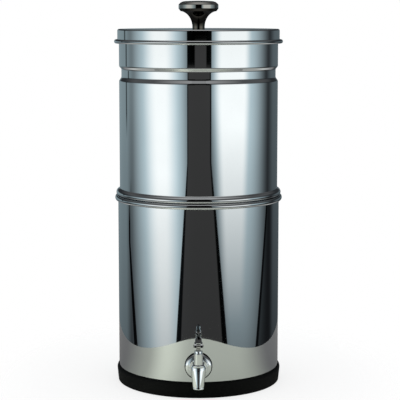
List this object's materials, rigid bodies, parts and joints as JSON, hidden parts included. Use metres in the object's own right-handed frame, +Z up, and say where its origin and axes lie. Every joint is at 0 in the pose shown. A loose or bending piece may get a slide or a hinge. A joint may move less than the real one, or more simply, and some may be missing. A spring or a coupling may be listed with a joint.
{
  "type": "gravity water filter with tap",
  "caption": "Tall cylindrical gravity water filter: an upper chamber with filter candles nests on a lower chamber with a lever tap, under a lift-off lid with a turned knob.",
  "frame": {"origin": "centre of the foot ring's underside, on the surface that the filter stands on", "axes": "+Z up along the axis of both chambers; the tap faces -Y; +X is to the right of someone facing the tap"},
  "size_m": [0.2252, 0.2659, 0.5134],
  "materials": {
    "polished_steel": "mirror-polished stainless steel sheet",
    "polished_knob": "turned and polished, dark chrome",
    "plain_steel": "plain machined stainless steel",
    "chrome_plate": "bright chrome plate",
    "black_rubber": "matt moulded rubber",
    "grey_rubber": "matt sealing rubber",
    "ceramic": "unglazed porous ceramic",
    "carbon": "pressed carbon block",
    "white_plastic": "moulded food-grade plastic",
    "silicone": "translucent silicone"
  },
  "bodies": {
    "lower_unit": {"lower_chamber": "polished_steel", "foot_ring": "black_rubber", "tap_body": "chrome_plate", "tap_escutcheon": "chrome_plate", "tap_outer_washer": "black_rubber", "tap_inner_washer": "black_rubber", "tap_back_nut": "plain_steel", "tap_bonnet": "chrome_plate", "tap_spring": "plain_steel"},
    "upper_unit": {"upper_chamber": "polished_steel", "blanking_plugs": "white_plastic", "blanking_washers": "grey_rubber", "blanking_nuts": "white_plastic", "candle_shell_left": "ceramic", "candle_core_left": "carbon", "candle_mount_left": "white_plastic", "candle_washer_left": "grey_rubber", "candle_wing_nut_left": "white_plastic", "candle_shell_right": "ceramic", "candle_core_right": "carbon", "candle_mount_right": "white_plastic", "candle_washer_right": "grey_rubber", "candle_wing_nut_right": "white_plastic"},
    "lid_unit": {"lid": "polished_steel", "lid_knob": "polished_knob", "lid_knob_screw": "plain_steel", "lid_knob_washer": "plain_steel"},
    "tap_stem_unit": {"tap_valve_stem": "plain_steel", "tap_seat_cup": "silicone"},
    "tap_lever_unit": {"tap_lever": "chrome_plate", "tap_lever_pin": "chrome_plate"}
  },
  "joints": [
    {"name": "upper_chamber_lift", "type": "slide", "parent": "lower_unit", "child": "upper_unit", "axis": [0, 0, 1], "range_m": [0, 0.12]},
    {"name": "lid_lift", "type": "slide", "parent": "upper_unit", "child": "lid_unit", "axis": [0, 0, 1], "range_m": [0, 0.06]},
    {"name": "valve_stem_lift", "type": "slide", "parent": "lower_unit", "child": "tap_stem_unit", "axis": [0, 0, 1], "range_m": [0, 0.0026], "deforming": ["tap_spring"]},
    {"name": "lever_tilt", "type": "hinge", "parent": "tap_stem_unit", "child": "tap_lever_unit", "pos_m": [0, -0.143, 0.07705], "axis": [1, 0, 0], "range_deg": [0, 45], "stiffness_Nm_per_rad": 0.04, "springref_deg": -17.19}
  ],
  "couplings": [
    {"joint": "valve_stem_lift", "follows": "lever_tilt", "m_per_rad": 0.0032}
  ]
}
